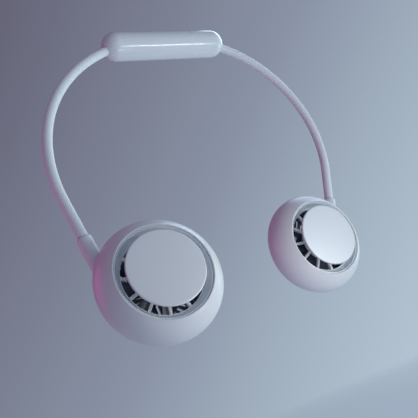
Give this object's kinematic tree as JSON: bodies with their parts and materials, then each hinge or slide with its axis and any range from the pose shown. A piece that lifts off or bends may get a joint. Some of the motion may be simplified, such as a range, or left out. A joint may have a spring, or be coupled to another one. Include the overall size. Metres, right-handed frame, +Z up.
{
  "type": "electric neck fan",
  "caption": "Wearable neck fan: a battery capsule for the nape, two bendable arms and two round swivelling fan heads.",
  "frame": {"origin": "the underside of the capsule, half way along it, where it rests on the back of the neck", "axes": "+Z up, from the heads to the capsule; X along the capsule, with the left head at -X; -Y the way the front discs face"},
  "size_m": [0.2547, 0.0819, 0.2601],
  "materials": {
    "gloss_white": "glossy moulded ABS",
    "satin_white": "satin moulded ABS",
    "satin_pale": "pale satin lacquer",
    "satin_silver": "satin silver lacquer on plastic",
    "soft_white": "smooth soft-touch silicone",
    "soft_wire": "bare soft wire",
    "lead_jacket": "thin silicone jacket",
    "steel": "plain steel",
    "nickel": "nickel strip",
    "cell_wrap": "shrink wrap",
    "board_green": "solder mask",
    "black_plastic": "moulded nylon",
    "clear_plastic": "clear acrylic",
    "magnet": "bonded ferrite",
    "copper": "enamelled copper"
  },
  "bodies": {
    "capsule": {"case_front": "gloss_white", "case_rear": "gloss_white", "case_screws": "steel", "battery_cell": "cell_wrap", "battery_contacts": "nickel", "main_board": "board_green", "tact_switch": "black_plastic", "usb_socket": "steel", "charge_light": "clear_plastic", "left_sleeve_root": "soft_white", "left_gooseneck": "soft_wire", "left_motor_leads": "lead_jacket", "left_arm_ferrule": "steel", "right_sleeve_root": "soft_white", "right_gooseneck": "soft_wire", "right_motor_leads": "lead_jacket", "right_arm_ferrule": "steel"},
    "power_button": {"power_button": "gloss_white"},
    "left_arm_middle": {"left_sleeve_bend": "soft_white"},
    "left_arm_lower": {"left_sleeve_end": "soft_white", "left_cuff": "gloss_white", "left_swivel_pin": "steel", "left_pin_clip": "steel"},
    "left_head": {"left_front_shell": "gloss_white", "left_rear_shell": "gloss_white", "left_head_screws": "steel", "left_bezel": "satin_silver", "left_outlet_grille": "satin_white", "left_front_disc": "satin_pale", "left_fan_frame": "black_plastic", "left_bearings": "steel", "left_stator_core": "steel", "left_stator_coils": "copper", "left_motor_board": "board_green"},
    "left_impeller": {"left_impeller": "black_plastic", "left_rotor_can": "steel", "left_magnet_ring": "magnet", "left_motor_shaft": "steel"},
    "right_arm_middle": {"right_sleeve_bend": "soft_white"},
    "right_arm_lower": {"right_sleeve_end": "soft_white", "right_cuff": "gloss_white", "right_swivel_pin": "steel", "right_pin_clip": "steel"},
    "right_head": {"right_front_shell": "gloss_white", "right_rear_shell": "gloss_white", "right_head_screws": "steel", "right_bezel": "satin_silver", "right_outlet_grille": "satin_white", "right_front_disc": "satin_pale", "right_fan_frame": "black_plastic", "right_bearings": "steel", "right_stator_core": "steel", "right_stator_coils": "copper", "right_motor_board": "board_green"},
    "right_impeller": {"right_impeller": "black_plastic", "right_rotor_can": "steel", "right_magnet_ring": "magnet", "right_motor_shaft": "steel"}
  },
  "joints": [
    {"name": "power_button_press", "type": "slide", "parent": "capsule", "child": "power_button", "axis": [0, 0.9563, -0.2924], "range_m": [0, 0.0004], "stiffness_N_per_m": 2500},
    {"name": "left_arm_spread", "type": "hinge", "parent": "capsule", "child": "left_arm_middle", "pos_m": [-0.10715, -0.00371, -0.03641], "axis": [0, 0.9971, -0.0767], "range_deg": [-8, 25], "deforming": ["left_gooseneck", "left_motor_leads"]},
    {"name": "left_arm_reach", "type": "hinge", "parent": "left_arm_middle", "child": "left_arm_lower", "pos_m": [-0.12793, -0.01057, -0.12557], "axis": [0.9898, 0.0109, 0.1422], "range_deg": [-25, 25], "deforming": ["left_gooseneck", "left_motor_leads"]},
    {"name": "left_head_swivel", "type": "hinge", "parent": "left_arm_lower", "child": "left_head", "pos_m": [-0.11969, -0.01496, -0.18261], "axis": [0.1426, -0.0759, -0.9869], "range_deg": [-90, 90], "deforming": ["left_motor_leads"]},
    {"name": "left_impeller_spin", "type": "hinge", "parent": "left_head", "child": "left_impeller", "pos_m": [-0.09152, -0.02657, -0.1966], "axis": [-0.0759, -0.995, 0.0656], "continuous": true},
    {"name": "right_arm_spread", "type": "hinge", "parent": "capsule", "child": "right_arm_middle", "pos_m": [0.10479, 0.00388, -0.03858], "axis": [0, -0.9971, -0.0767], "range_deg": [-8, 25], "deforming": ["right_gooseneck", "right_motor_leads"]},
    {"name": "right_arm_reach", "type": "hinge", "parent": "right_arm_middle", "child": "right_arm_lower", "pos_m": [0.11091, 0.01084, -0.1291], "axis": [0.9323, 0.0277, -0.3606], "range_deg": [-25, 25], "deforming": ["right_gooseneck", "right_motor_leads"]},
    {"name": "right_head_swivel", "type": "hinge", "parent": "right_arm_lower", "child": "right_head", "pos_m": [0.09001, 0.01498, -0.18282], "axis": [-0.3616, 0.0715, -0.9296], "range_deg": [-90, 90], "deforming": ["right_motor_leads"]},
    {"name": "right_impeller_spin", "type": "hinge", "parent": "right_head", "child": "right_impeller", "pos_m": [0.05859, 0.00692, -0.19135], "axis": [0.0065, -0.9968, -0.0792], "continuous": true}
  ]
}
